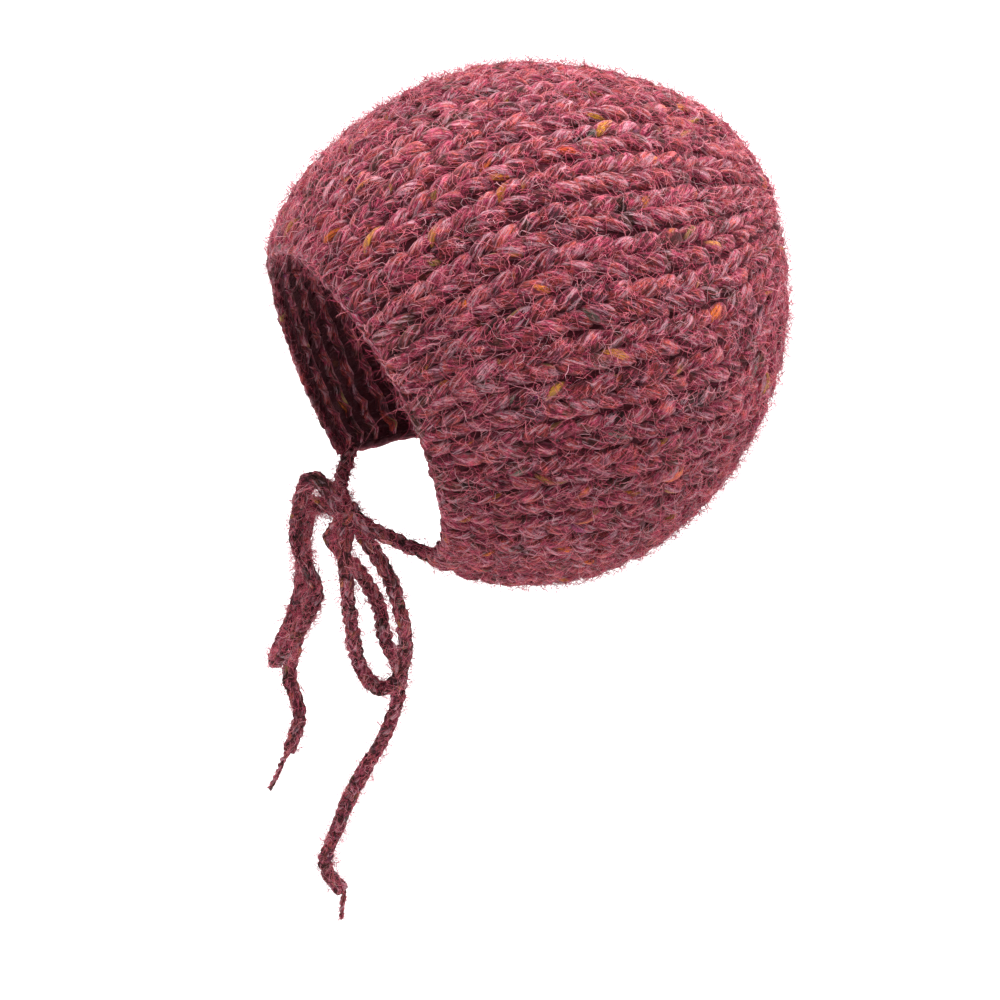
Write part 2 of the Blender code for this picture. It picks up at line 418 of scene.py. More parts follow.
class Nodes:
    """Short way to write a node tree."""

    def __init__(self, name: str) -> None:
        """Start a material of the given name."""
        self.material = bpy.data.materials.new(name)
        self.material.use_nodes = True
        self.tree = self.material.node_tree
        self.tree.nodes.clear()

    def add(self, kind: str, inputs: dict | None = None, **settings: object) -> bpy.types.Node:
        """Add a node.

        Args:
            kind: the node's type, without the ShaderNode in front.
            inputs: values or sockets for its inputs, by name or number.
            **settings: its other settings.

        Returns:
            The node.
        """
        node = self.tree.nodes.new("ShaderNode" + kind)
        for key, value in settings.items():
            setattr(node, key, value)
        for key, value in (inputs or {}).items():
            if isinstance(value, bpy.types.NodeSocket):
                self.tree.links.new(value, node.inputs[key])
            else:
                node.inputs[key].default_value = value
        return node

    def maths(self, operation: str, first: object, second: object = 0.0, third: object = 0.0) -> object:
        """Socket with the result of one sum."""
        return self.add("Math", {0: first, 1: second, 2: third}, operation=operation).outputs[0]

    def spread(self, value: object, low: float, high: float, start: float = 0.0, end: float = 1.0) -> object:
        """Socket with a value moved from one range to another, kept inside it."""
        sockets = {"Value": value, "From Min": low, "From Max": high, "To Min": start, "To Max": end}
        return self.add("MapRange", sockets).outputs[0]

    def ramp(self, value: object, stops: Stops) -> object:
        """Socket with a colour read from a ramp.

        Args:
            value: socket of the place on the ramp.
            stops: place and colour of each stop.

        Returns:
            The colour socket.
        """
        node = self.add("ValToRGB", {0: value})
        elements = node.color_ramp.elements
        while len(elements) < len(stops):
            elements.new(0.5)
        for element, (place, colour) in zip(elements, stops):
            element.position = place
            element.color = (*colour, 1.0)
        return node.outputs[0]

    def mix(self, share: object, first: object, second: object, way: str = "MIX") -> object:
        """Socket with two colours mixed.

        Args:
            share: share of the second colour.
            first: a colour or its socket.
            second: a colour or its socket.
            way: how they are mixed.

        Returns:
            The colour socket.
        """
        sockets = {0: share, 6: first, 7: second}
        for index in (6, 7):
            if isinstance(sockets[index], tuple):
                sockets[index] = (*sockets[index], 1.0)
        return self.add("Mix", sockets, data_type="RGBA", blend_type=way).outputs[2]

    def noise(
        self, vector: object, scale: Place, detail: float = 2.0, roughness: float = 0.5, curl: float = 0.0
    ) -> object:
        """Socket with noise on a stretched vector.

        Args:
            vector: socket of the coordinates, in metres.
            scale: cells for each metre along each axis.
            detail: finer layers.
            roughness: strength of the finer layers.
            curl: how far the noise is bent by itself.

        Returns:
            The noise, about 0.5 in the middle.
        """
        stretched = self.add("Mapping", {"Vector": vector, "Scale": scale}).outputs[0]
        return self.add("TexNoise", {
            "Vector": stretched, "Scale": 1.0, "Detail": detail, "Roughness": roughness, "Distortion": curl,
        }).outputs[0]

    def attribute(self, name: str, output: str = "Fac") -> object:
        """Socket with a value that is kept at the vertices."""
        return self.add("Attribute", attribute_name=name).outputs[output]

    def times(self, first: object, second: object) -> object:
        """Socket with a product."""
        return self.maths("MULTIPLY", first, second)

    def toned(self, colour: object, value: object, saturation: float = 1.0) -> object:
        """Socket with a colour made lighter or darker, and stronger or weaker."""
        sockets = {"Color": colour, "Value": value, "Saturation": saturation}
        return self.add("HueSaturation", sockets).outputs[0]

    def finish(self, shader: bpy.types.Node) -> Material:
        """Material whose surface is the given shader."""
        output = self.add("OutputMaterial")
        self.tree.links.new(shader.outputs[0], output.inputs[0])
        return self.material


# Fibres blended in the heather yarn, side by side
HEATHER = ramp_stops(
    (0.00, 40, 22, 26), (0.13, 92, 40, 52), (0.24, 160, 104, 118), (0.34, 62, 30, 36),
    (0.44, 172, 60, 86), (0.54, 110, 78, 72), (0.63, 196, 102, 114), (0.74, 134, 46, 84),
    (0.86, 220, 176, 184), (1.00, 196, 100, 92),
)

# Slow change of the yarn's colour from place to place
DYE = ramp_stops(
    (0.35, 138, 158, 118), (0.42, 204, 176, 164), (0.47, 255, 160, 212), (0.52, 240, 212, 212),
    (0.57, 255, 176, 146), (0.64, 206, 200, 214),
)

# Tweed flecks spun into the yarn
FLECKS = ramp_stops(
    (0.00, 240, 122, 52), (0.30, 226, 156, 62), (0.52, 150, 140, 78), (0.64, 216, 90, 48),
    (0.80, 160, 60, 124), (0.92, 110, 116, 104),
)


@dataclass(frozen=True)
class YarnFinish:
    """Brushed heather yarn, spun along the attribute named yarn."""

    name: str
    brightness: float = 1.0
    saturation: float = 1.0
    # Colour and strength of the shade painted into the gaps between stitches
    painted_gap_shade_colour: Colour = linear(62, 24, 32)
    painted_gap_shade_share: float = 0.90
    smoky_colour: Colour = linear(50, 38, 38)
    smoky_share: float = 0.92
    pale_colour: Colour = linear(216, 172, 184)
    pale_share: float = 0.66
    fleck_share: float = 0.06
    fibre_length: float = 0.0020
    fibre_width: float = 0.00026
    fleck_cells: Place = (165.0, 470.0, 470.0)
    patch_size: float = 0.0075
    relief: float = 0.00026
    sheen: float = 0.5
    # Ranges of the noise that the heather's colours and its light and dark are read from, and the range of
    # proud over which shade is painted into the gaps
    pick_range: tuple[float, float] = (0.36, 0.64)
    glow_range: tuple[float, float, float, float] = (0.34, 0.66, 0.42, 1.6)
    fleck_glow: tuple[float, float, float, float] = (0.35, 0.62, 0.45, 1.15)
    painted_gap_shade_range: tuple[float, float] = (0.74, 0.24)

    def material(self) -> Material:
        """Build the material.

        Returns:
            The material.
        """
        book = Nodes(self.name)
        yarn = book.attribute("yarn", "Vector")
        shade = book.attribute("shade")
        proud = book.attribute("proud")
        place = book.add("TexCoord").outputs["Object"]
        along, across, patch = 1.0 / self.fibre_length, 1.0 / self.fibre_width, 1.0 / self.patch_size
        streaks = book.noise(yarn, (along, across, across), 3.0, 0.65, 1.4)
        wisps = book.noise(yarn, (along * 0.6, across * 0.5, across * 0.5), 2.0, 0.6, 1.0)
        strands = book.noise(yarn, (along * 0.34, across * 0.26, across * 0.26), 2.0, 0.6)
        drift = book.noise(place, (patch * 2.0, patch * 2.0, patch * 2.0), 2.0, 0.5)
        pick = book.maths("ADD", streaks, book.maths("MULTIPLY_ADD", shade, 0.13, -0.065))
        pick = book.maths("ADD", pick, book.maths("MULTIPLY_ADD", drift, 0.30, -0.15))
        heather = book.ramp(book.spread(pick, *self.pick_range), HEATHER)
        dye = book.ramp(book.noise(place, (patch, patch, patch), 3.0, 0.6), DYE)
        tinted = book.mix(0.9, heather, dye, "MULTIPLY")
        glow = book.spread(wisps, *self.glow_range)
        lit = book.toned(tinted, glow)
        grain = book.spread(streaks, 0.40, 0.54)
        smoky = book.times(book.spread(strands, 0.48, 0.41, 0.0, self.smoky_share), grain)
        lit = book.mix(smoky, lit, self.smoky_colour)
        pale = book.times(book.spread(strands, 0.54, 0.62, 0.0, self.pale_share), grain)
        lit = book.mix(pale, lit, self.pale_colour)
        cells = book.add("Mapping", {"Vector": yarn, "Scale": self.fleck_cells}).outputs[0]
        cell = book.add("TexVoronoi", {"Vector": cells, "Scale": 1.0})
        parts = book.add("SeparateColor", {0: cell.outputs["Color"]})
        rare = book.maths("LESS_THAN", parts.outputs[0], self.fleck_share)
        core = book.spread(cell.outputs["Distance"], 0.66, 0.40)
        strength = book.times(book.times(rare, core), book.spread(streaks, 0.42, 0.54))
        fleck = book.toned(book.ramp(parts.outputs[1], FLECKS), book.spread(wisps, *self.fleck_glow))
        flecked = book.mix(strength, lit, fleck)
        # Painted shade: the yarn is darkened where the attribute proud is low, deep in the gaps between
        # stitches
        gap = book.times(book.spread(proud, *self.painted_gap_shade_range), self.painted_gap_shade_share)
        gap_shaded = book.mix(gap, flecked, self.painted_gap_shade_colour)
        height = book.maths("MULTIPLY_ADD", streaks, 0.6, book.times(wisps, 0.4))
        bump = book.add("Bump", {"Height": height, "Strength": 1.0, "Distance": self.relief})
        shader = book.add("BsdfPrincipled", {
            "Base Color": book.toned(gap_shaded, self.brightness, self.saturation),
            "Roughness": 0.95,
            "Specular IOR Level": 0.1,
            "Sheen Weight": self.sheen,
            "Sheen Roughness": 0.35,
            "Sheen Tint": (*linear(246, 176, 186), 1.0),
            "Normal": bump.outputs[0],
        })
        return book.finish(shader)


@dataclass(frozen=True)
class FibreFinish:
    """Single wool fibres, each with its own colour from the attribute named tint."""

    name: str
    stops: Stops

    def material(self) -> Material:
        """Build the material.

        Returns:
            The material.
        """
        book = Nodes(self.name)
        colour = book.ramp(book.attribute("tint"), self.stops)
        place = book.add("TexCoord").outputs["Object"]
        drift = book.spread(book.noise(place, (160.0, 160.0, 160.0)), 0.3, 0.7, 0.82, 1.12)
        shader = book.add("BsdfPrincipled", {
            "Base Color": book.toned(colour, drift),
            "Roughness": 0.85,
            "Specular IOR Level": 0.12,
        })
        return book.finish(shader)


@dataclass(frozen=True)
class FloorFinish:
    """Plain pale floor of the studio."""

    name: str = "pale_floor"
    colour: Colour = (0.93, 0.925, 0.925)

    def material(self) -> Material:
        """Build the material.

        Returns:
            The material.
        """
        book = Nodes(self.name)
        shader = book.add("BsdfPrincipled", {"Base Color": (*self.colour, 1.0), "Roughness": 0.9})
        return book.finish(shader)


KNIT_FINISH = YarnFinish("heather_knit_yarn", brightness=0.91)
# The purl side's yarn, with weaker painted shade in its gaps
PURL_FINISH = YarnFinish("heather_purl_yarn", painted_gap_shade_share=0.7)
# The cord's yarn, with a darker painted shade at full strength in its gaps
CORD_FINISH = YarnFinish(
    "heather_cord_yarn", brightness=0.80, saturation=0.92, fleck_share=0.10, smoky_share=0.95, painted_gap_shade_share=1.0,
    painted_gap_shade_colour=linear(44, 26, 28), sheen=0.15,
)
HALO_FINISH = FibreFinish("halo_fibres", ramp_stops(
    (0.00, 128, 40, 64), (0.22, 190, 72, 98), (0.55, 220, 104, 122), (0.84, 236, 136, 146),
    (1.00, 246, 182, 192),
))
SURFACE_FINISH = FibreFinish("surface_fibres", ramp_stops(
    (0.00, 36, 20, 24), (0.18, 92, 34, 48), (0.34, 172, 56, 98), (0.50, 210, 100, 110),
    (0.66, 198, 126, 146), (0.84, 224, 156, 170), (1.00, 236, 192, 198),
))


@dataclass
class KnitBody:
    """The stockinette cap: its stitches, its purl side, its cloth, its edges and its crown."""

    material: Material
    # Rows of stitches from the face edge to the crown, and the rows where columns are knitted together
    rows: int = 24
    first_decrease: int = 20
    second_decrease: int = 22
    # A leg of a stitch, across in columns, along in rows, and its heights in metres
    leg_inner: float = 0.06
    leg_outer: float = 0.345
    leg_start: float = -0.36
    leg_length: float = 1.66
    leg_half_width: float = 0.225
    leg_half_height: float = 0.0016
    leg_crest: float = 0.0010
    leg_sink: float = 0.0018
    leg_tilt: float = 0.10
    # Depth under which a stitch counts as part of the gaps, where the material paints shade
    gap_depth: float = 0.0012
    # Unevenness of hand knitting
    shift_across: float = 0.024
    shift_along: float = 0.055
    shift_lift: float = 0.00016
    uneven_size: float = 0.07
    wander: float = 0.14
    # A purl bump, across in columns, along in rows, and its heights in metres
    purl_bend: float = 0.42
    purl_reach: float = 1.16
    purl_level: float = -0.00125
    purl_radius: float = 0.00095
    # Links of the edges: how many at each neck edge, and their overlaps
    neck_links: int = 20
    face_overlap: float = 2.3
    neck_overlap: float = 2.1
    # Height of the cloth over the middle of the wall, its thickness, and its size on the yarn's pattern
    cloth_lift: float = -0.0001
    cloth_wall: float = 0.0018
    cloth_pattern: tuple[float, float] = (0.1416, 0.30)
    seed: int = 7

    def columns(self, row: int) -> int:
        """Columns of stitches in a row, halved twice before the crown."""
        if row >= self.second_decrease:
            return FORM.wales // 4 + 1
        return FORM.wales // 2 if row >= self.first_decrease else FORM.wales

    def stitches(self) -> Array:
        """Every stitch.

        Returns:
            The column's middle as a share of the width, the row, and the columns in that row.
        """
        table = []
        for row in range(self.rows):
            count = self.columns(row)
            table += [((column + 0.5) / count, row, count) for column in range(count)]
        return np.array(table, dtype=float).T

    def place(self, across: Array, along: Array, lift: Array) -> Array:
        """Points of the fabric where the columns wander a little, as in hand knitting.

        Args:
            across: share of the width, from 0 at the right to 1 at the left.
            along: rows from the face edge.
            lift: height over the middle of the wall.

        Returns:
            Points in metres.
        """
        row = along / self.rows
        calm = np.sin(math.pi * clamp(across)) * clamp(1.0 - row) ** 0.5
        sway = np.sin(along * 0.55 + across * 31.0) + 0.7 * np.sin(along * 0.93 - across * 17.0 + 1.3)
        side = 2.0 * (across + calm * self.wander * sway / FORM.wales / 1.7) - 1.0
        return FORM.points(side, np.minimum(row, 0.9995), lift)

    def add_legs(self, maker: MeshMaker, stitches: Array, hand: float) -> None:
        """Add one leg of each given stitch.

        Args:
            maker: the mesh.
            stitches: their middles, rows and columns, as the method stitches gives them.
            hand: -1 for the right leg, 1 for the left one.
        """
        middles, rows, counts = stitches[:, :, None]
        along, around, girth = maker.axes
        jitter = maker.rng.normal(size=(7, len(middles), 1))
        size = (1.0 + self.uneven_size * jitter[0]) * girth
        slant = (self.leg_outer - self.leg_inner) * (1.28 * along - 0.28 * along ** 2)
        middle = self.leg_inner + slant + 0.02 * jitter[1] * (along - 0.5)
        shift = hand * middle + self.leg_half_width * size * np.cos(around) + self.shift_across * jitter[2]
        arch = np.sin(math.pi * clamp(along * 1.04 - 0.02))
        crest = self.leg_crest + self.shift_lift * jitter[3]
        lift = crest - self.leg_sink * (1.0 - arch) ** 1.3 + self.leg_half_height * size * np.sin(around)
        tilt = self.leg_tilt * np.cos(around) * hand * girth
        row = rows + self.leg_start + self.leg_length * along + self.shift_along * jitter[4] - tilt
        places = self.place(middles + shift / counts, row, lift)
        top = self.leg_crest + self.leg_half_height
        # Painted shade darkens the parts of each leg that sink towards the gaps
        proud = (lift + self.gap_depth) / (top + self.gap_depth)
        maker.add_yarn(places, (0.0088, 0.0021), 0.5 + 0.28 * jitter[5], proud, hand * 1.6)

    def make_stitches(self) -> list[Piece]:
        """The knit side, in a right and a left half.

        Returns:
            The two pieces.
        """
        stitches = self.stitches()
        made = []
        for name, chosen in (("stitches_right", stitches[0] < 0.5), ("stitches_left", stitches[0] >= 0.5)):
            maker = MeshMaker(name, spindle(8, 8, 2.8), self.seed + len(made))
            for hand in (-1.0, 1.0):
                self.add_legs(maker, stitches[:, chosen], hand)
            made.append(maker.finish(self.material, Slot.KNIT))
        return made

    def make_purl(self, material: Material) -> Piece:
        """The purl side, whose bumps show inside the bonnet.

        Args:
            material: the yarn, with weaker painted shade in the gaps than outside.

        Returns:
            The piece.
        """
        maker = MeshMaker("purl_bumps", spindle(6, 4), self.seed + 10)
        along, around, girth = maker.axes
        reach = (along - 0.5) * self.purl_reach
        for bend, step, level in ((self.purl_bend, 0.0, 0.25), (-self.purl_bend, 0.5, 0.62)):
            middles, rows, counts = self.stitches()[:, :, None]
            centre = middles + step / counts
            keep = centre[:, 0] < 1.0
            centre, rows, counts = centre[keep], rows[keep], counts[keep]
            jitter = maker.rng.normal(size=(3, len(rows), 1))
            arc = bend * (np.cos(reach * math.pi * 0.9) - 0.4)
            row = rows + level + arc + girth * 0.24 * np.sin(around) + 0.04 * jitter[0]
            lift = self.purl_level + 0.0007 * (2.0 * reach) ** 2 + self.purl_radius * girth * np.cos(around)
            lift = lift + 0.0001 * jitter[1]
            across = np.clip(centre + reach / counts, 0.004, 0.996)
            places = self.place(across, np.maximum(row, 0.1), lift)
            # Painted shade darkens the parts of each bump that lie close to the middle of the wall
            maker.add_yarn(places, (0.0095, 0.0014), 0.5 + 0.25 * jitter[2], (0.0002 - lift) / 0.0024)
        return maker.finish(material, Slot.KNIT)

    def make_cloth(self) -> None:
        """The dense middle of the fabric, which the stitches of both sides stand out of, painted in full gap
        shade.
        """
        work = bmesh.new()
        bmesh.ops.create_grid(work, x_segments=FORM.wales * 2, y_segments=self.rows + 8, size=1.0)
        work.verts.index_update()
        grid = np.array([vert.co[:] for vert in work.verts])
        across = clamp((grid[:, 0] + 1.0) / 2.0)
        along = (grid[:, 1] + 1.0) / 2.0
        places = FORM.points(2.0 * across - 1.0, np.clip(along, 0.004, 1.0), np.array(self.cloth_lift))
        yarn = work.verts.layers.float_vector.new("yarn")
        shade = work.verts.layers.float.new("shade")
        # The layer proud stays at 0, so the whole cloth is painted with the gap shade
        work.verts.layers.float.new("proud")
        for vert, place, turn, row in zip(work.verts, places, across, along):
            vert.co = place
            vert[yarn] = (row * self.cloth_pattern[0], turn * self.cloth_pattern[1], 0.0)
            vert[shade] = 0.3
        bmesh.ops.remove_doubles(work, verts=work.verts, dist=0.00005)
        bmesh.ops.dissolve_degenerate(work, edges=work.edges, dist=0.00001)
        bmesh.ops.recalc_face_normals(work, faces=work.faces)
        top = max(work.faces, key=lambda face: face.calc_center_median().z)
        if top.normal.z < 0.0:
            bmesh.ops.reverse_faces(work, faces=work.faces)
        mesh = bpy.data.meshes.new("knit_cloth")
        work.to_mesh(mesh)
        work.free()
        mesh.shade_smooth()
        cloth = link("knit_cloth", mesh)
        wall = cloth.modifiers.new("wall", "SOLIDIFY")
        wall.thickness = self.cloth_wall
        wall.offset = 0.0
        dress(cloth, self.material)
        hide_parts("bonnet_body")

    def make_edges(self) -> Piece:
        """The cast-on edge round the face and the chained edges at the neck.

        Returns:
            The piece.
        """
        maker = MeshMaker("knit_edges", spindle(8, 8), self.seed + 20)
        along, around, girth = maker.axes
        wide, high, slope = girth * np.cos(around), girth * np.sin(around), along - 0.5

        def add(across: Array, row: Array, lift: Array, jitter: Array) -> None:
            """Add links at places across from 0 to 1 and along in rows."""
            places = FORM.points(2.0 * across - 1.0, row / self.rows, lift)
            # Painted shade darkens the links on their lower side
            maker.add_yarn(places, (0.009, 0.0016), 0.5 + 0.25 * jitter, 0.55 + 0.45 * high)

        links = FORM.wales * 2
        jitter = maker.rng.normal(size=(3, links, 1))
        across = (np.arange(links)[:, None] + 0.5 + slope * self.face_overlap) / links
        row = 0.02 + 0.26 * slope + 0.26 * wide + 0.03 * jitter[0]
        lift = 0.0002 - 0.0010 * slope + 0.00145 * high + 0.0001 * jitter[1]
        add(np.clip(across, 0.001, 0.999), row, lift, jitter[2])
        spots = np.arange(self.neck_links)[:, None] + 0.4 + slope * self.neck_overlap
        row = spots / self.neck_links * FORM.nape_share * self.rows
        for end, inward in ((0.0, 1.0), (1.0, -1.0)):
            jitter = maker.rng.normal(size=(3, self.neck_links, 1))
            shift = 0.10 + 0.16 * slope + 0.17 * wide + 0.02 * jitter[0]
            lift = 0.0001 + 0.0009 * slope + 0.0016 * high
            add(end + inward * shift / FORM.wales, np.maximum(row, 0.0), lift, jitter[1])
        return maker.finish(self.material, Slot.KNIT)


def smooth_points(points: Array, spacing: float) -> Array:
    """Points at even spacing on the smooth curve through a route's own points.

    Args:
        points: the route's points.
        spacing: wanted distance between two points.

    Returns:
        The points.
    """
    padded = np.concatenate([[points[0] * 2.0 - points[1]], points, [points[-1] * 2.0 - points[-2]]])
    part = (np.arange(24) / 24.0)[:, None]
    fine = []
    for index in range(1, len(padded) - 2):
        before, start, end, after = padded[index - 1:index + 3]
        fine.append(0.5 * (
            start * 2.0
            + (end - before) * part
            + (before * 2.0 - start * 5.0 + end * 4.0 - after) * part ** 2
            + (start * 3.0 - before - end * 3.0 + after) * part ** 3
        ))
    line = np.concatenate([*fine, points[-1:]])
    lengths = np.concatenate([[0.0], np.cumsum(np.linalg.norm(np.diff(line, axis=0), axis=1))])
    count = max(2, round(lengths[-1] / spacing))
    wanted = np.linspace(0.0, lengths[-1], count + 1)
    return np.stack([np.interp(wanted, lengths, line[:, axis]) for axis in range(3)], axis=1)


@dataclass(frozen=True)
class Roots:
    """Where fibres start, and three directions there: ahead, across and out of the surface."""

    points: Array
    ahead: Array
    across: Array
    out: Array


class Line:
    """Smooth line with an even frame along it, that cords and yarn ends follow."""

    def __init__(self, points: Array, spacing: float = 0.0008) -> None:
        """Run a line through points.

        Args:
            points: the route's points.
            spacing: distance between two stations.
        """
        self.points = smooth_points(points, spacing)
        steps = np.diff(self.points, axis=0)
        self.lengths = np.concatenate([[0.0], np.cumsum(np.linalg.norm(steps, axis=1))])
        self.length = float(self.lengths[-1])
        self.ways = unit(np.gradient(self.points, axis=0))
        side = unit(np.cross(self.ways[0], np.array([0.31, 0.87, 0.38])))
        sides = [side]
        for way in self.ways[1:]:
            side = side - way * float(np.dot(side, way))
            side = side / np.linalg.norm(side)
            sides.append(side)
        self.sides = np.array(sides)
        self.rises = np.cross(self.ways, self.sides)

    def read(self, values: Array, along: Array) -> Array:
        """Values kept at the stations, read at any lengths along the line."""
        return np.stack([np.interp(along, self.lengths, values[:, axis]) for axis in range(3)], axis=-1)

    def place(self, along: Array, around: Array, radius: Array) -> Array:
        """Points round the line.

        Args:
            along: lengths along the line.
            around: angles round it.
            radius: distances from it.

        Returns:
            Points in metres.
        """
        along, around, radius = np.broadcast_arrays(along, around, radius)
        out = np.cos(around)[..., None] * self.read(self.sides, along)
        out = out + np.sin(around)[..., None] * self.read(self.rises, along)
        return self.read(self.points, along) + unit(out) * radius[..., None]

    def roots(self, rng: Rng, shares: Array, radius: float) -> Roots:
        """Roots of fibres round the line.

        Args:
            rng: random numbers, for the angles.
            shares: places along the line, from 0 to 1.
            radius: distance from the line.

        Returns:
            The roots.
        """
        along = self.length * shares
        points = self.place(along, ANY_ANGLE(rng, len(shares)), np.array(radius))
        way = self.read(self.ways, along)
        out = unit(points - self.read(self.points, along))
        return Roots(points, way, np.cross(out, way), out)


@dataclass(frozen=True)
class Growth:
    """How fibres grow: their length in the surface, their height over their roots and so on.

    curl is in turns a metre, settle is the share of its height that a fibre loses again at its
    tip, and tint is the range of the value that the material takes its colour from.
    """

    length: Draw
    height: Draw
    radius: float
    curl: float
    heading: Draw = ANY_ANGLE
    settle: float = 0.0
    tint: tuple[float, float] = (0.0, 1.0)


class FibreMaker(MeshMaker):
    """Grows thin curly fibres out of yarn."""

    def __init__(self, name: str, segments: int, seed: int) -> None:
        """Start a piece of fibres.

        Args:
            name: name of the piece.
            segments: stretches along each fibre.
            seed: seed of the random numbers.
        """
        super().__init__(name, fibre(segments), seed)
        self.segments = segments

    def grow(self, roots: Roots, growth: Growth, centre: Array | None = None) -> None:
        """Add fibres.

        Args:
            roots: where the fibres start.
            growth: how they grow.
            centre: middle of the round form that they lie over, where there is one.
        """
        rng, count = self.rng, len(roots.points)
        length = growth.length(rng, count)[:, None]
        height = growth.height(rng, count)[:, None]
        heading = growth.heading(rng, count)[:, None]
        share = np.linspace(0.0, 1.0, self.segments + 1)[None, :]
        bend = rng.normal(0.0, growth.curl * TURN, (count, 1)) * length
        wobble = rng.uniform(0.3, 1.3, (count, 1)) * np.sin(
            TURN * (rng.uniform(0.5, 1.6, (count, 1)) * share + rng.uniform(0.0, 1.0, (count, 1)))
        )
        angle = heading + bend * share + wobble
        stride = length / self.segments
        x = np.cumsum(np.cos(angle), axis=1) * stride
        y = np.cumsum(np.sin(angle), axis=1) * stride
        x, y = (x - x[:, :1])[..., None], (y - y[:, :1])[..., None]
        rise = height * (share ** 0.8) * (1.0 - growth.settle * share ** 2)
        rise = rise + 0.12 * height * np.sin(7.0 * share + rng.uniform(0.0, 6.0, (count, 1))) * share
        ahead, across, out = roots.ahead[:, None], roots.across[:, None], roots.out[:, None]
        if centre is None:
            line = roots.points[:, None] + ahead * x + across * y + out * rise[..., None]
        else:
            arm = roots.points - centre
            reach = np.linalg.norm(arm, axis=1)[:, None]
            line = centre + unit(arm[:, None] + ahead * x + across * y) * (reach + rise)[..., None]
        way = unit(np.gradient(line, axis=1))
        side = unit(np.cross(way, out + 0.37 * ahead))
        other = np.cross(way, side)
        axial, around, girth = self.axes
        ring = np.round(axial[0] * self.segments).astype(int)
        thick = growth.radius * girth * rng.uniform(0.7, 1.3, (count, 1))
        places = line[:, ring] + side[:, ring] * (np.cos(around) * thick)[..., None]
        places = places + other[:, ring] * (np.sin(around) * thick)[..., None]
        self.add(places, tint=rng.uniform(*growth.tint, (count, 1)))


@dataclass(frozen=True)
class CoatLayer:
    """One piece of the brushed coat, scattered over one side of the bonnet or over both."""

    name: str
    count: int
    segments: int
    lift: float
    seed: int
    growth: Growth
    half: float = 0.0


@dataclass
class FibreCoat:
    """Brushed coat of the knitted body: fibres that lie on it, a fine halo and stray hairs."""

    surface_radius: float = 0.000029
    halo_radius: float = 0.000053
    stray_radius: float = 0.000038
    halo_count: int = 15800
    stray_count: int = 1300
    rim_count: int = 800
    root_jitter: float = 0.0003

    def layers(self) -> tuple[CoatLayer, ...]:
        """The layers, from the one that lies closest to the stitches.

        Returns:
            The layers.
        """
        curly = Growth(
            even(0.005, 0.011), even(0.0004, 0.0013), self.surface_radius, 85.0, both_ways(0.8), 0.7
        )
        brushed = Growth(
            even(0.0020, 0.0055), even(0.0002, 0.0009), self.surface_radius * 1.6, 45.0, settle=0.6
        )
        fine = Growth(
            even(0.0018, 0.0052), tailed(0.0006, 1.7, 0.0010, 0.0068), self.halo_radius, 55.0, settle=0.25
        )
        stray = Growth(
            even(0.006, 0.015), even(0.0014, 0.0072), self.stray_radius, 36.0, settle=0.5, tint=(0.45, 1.0)
        )
        return (
            CoatLayer("surface_fibres", 3000, 8, 0.0021, 40, curly),
            CoatLayer("brushed_fibres", 4000, 3, 0.0019, 49, brushed),
            CoatLayer("halo_right", self.halo_count // 2, 3, 0.0024, 41, fine, -1.0),
            CoatLayer("halo_left", self.halo_count // 2, 3, 0.0024, 42, fine, 1.0),
            CoatLayer("stray_hairs", self.stray_count, 7, 0.0026, 45, stray),
        )

    def roots(self, rng: Rng, side: Array, row: Array, lift: float) -> Roots:
        """Roots at places of the fabric, ahead towards the crown.

        Args:
            rng: random numbers.
            side: places across, from -1 to 1.
            row: shares of the way to the crown.
            lift: height over the middle of the wall.

        Returns:
            The roots.
        """
        height = lift + rng.normal(0.0, self.root_jitter, len(side))
        points = FORM.points(side, row, height)
        ahead = unit(FORM.points(side, row + 0.004, height) - points)
        out = FORM.normal(side, row)
        return Roots(points, ahead, np.cross(out, ahead), out)

    @staticmethod
    def scatter(rng: Rng, count: int) -> tuple[Array, Array]:
        """Even scatter over the fabric.

        Args:
            rng: random numbers.
            count: how many places.

        Returns:
            Places across, from -1 to 1, and shares of the way to the crown.
        """
        side = rng.uniform(-1.0, 1.0, count * 3)
        row = rng.uniform(0.0, 0.985, count * 3)
        girth = np.sin((math.pi - FORM.face_reach) * (1.0 - row)) * FORM.edge_turn(row) / math.pi
        kept = np.flatnonzero(rng.uniform(0.0, 1.0, count * 3) < girth)[:count]
        return side[kept], row[kept]

    def add_rim(self, fibres: FibreMaker) -> None:
        """Add the hairs that point out over the face edge.

        Args:
            fibres: the piece that they belong to.
        """
        side = fibres.rng.uniform(-1.0, 1.0, self.rim_count)
        row = fibres.rng.uniform(-0.008, 0.012, self.rim_count)
        roots = self.roots(fibres.rng, side, row, 0.0)
        growth = Growth(
            tailed(0.0016, 1.8, 0.0018), bell(0.0, 0.0012), self.stray_radius, 30.0, bell(0.0, 0.7),
            tint=(0.1, 0.8),
        )
        fibres.grow(replace(roots, ahead=-roots.ahead), growth, FORM.centre)

    def make(self, surface: Material, halo: Material) -> list[Piece]:
        """Build the coat.

        Args:
            surface: material of the fibres that lie on the stitches.
            halo: material of the hairs that stand out.

        Returns:
            The pieces.
        """
        made = []
        for layer in self.layers():
            fibres = FibreMaker(layer.name, layer.segments, layer.seed)
            side, row = self.scatter(fibres.rng, layer.count)
            if layer.half:
                side = layer.half * np.abs(side)
            fibres.grow(self.roots(fibres.rng, side, row, layer.lift), layer.growth, FORM.centre)
            if layer.name == "stray_hairs":
                self.add_rim(fibres)
            made.append(fibres.finish(surface if len(made) < 2 else halo, Slot.KNIT))
        return made


KNOT_RADIUS = 0.0048
KNOT_SINK = 0.0024
# Distance from the face edge to where a tie leaves the neck edge
CHEEK_INSET = 0.0032
KNOT_CENTRE = np.array((0.0, -48.0, -93.5)) * MM

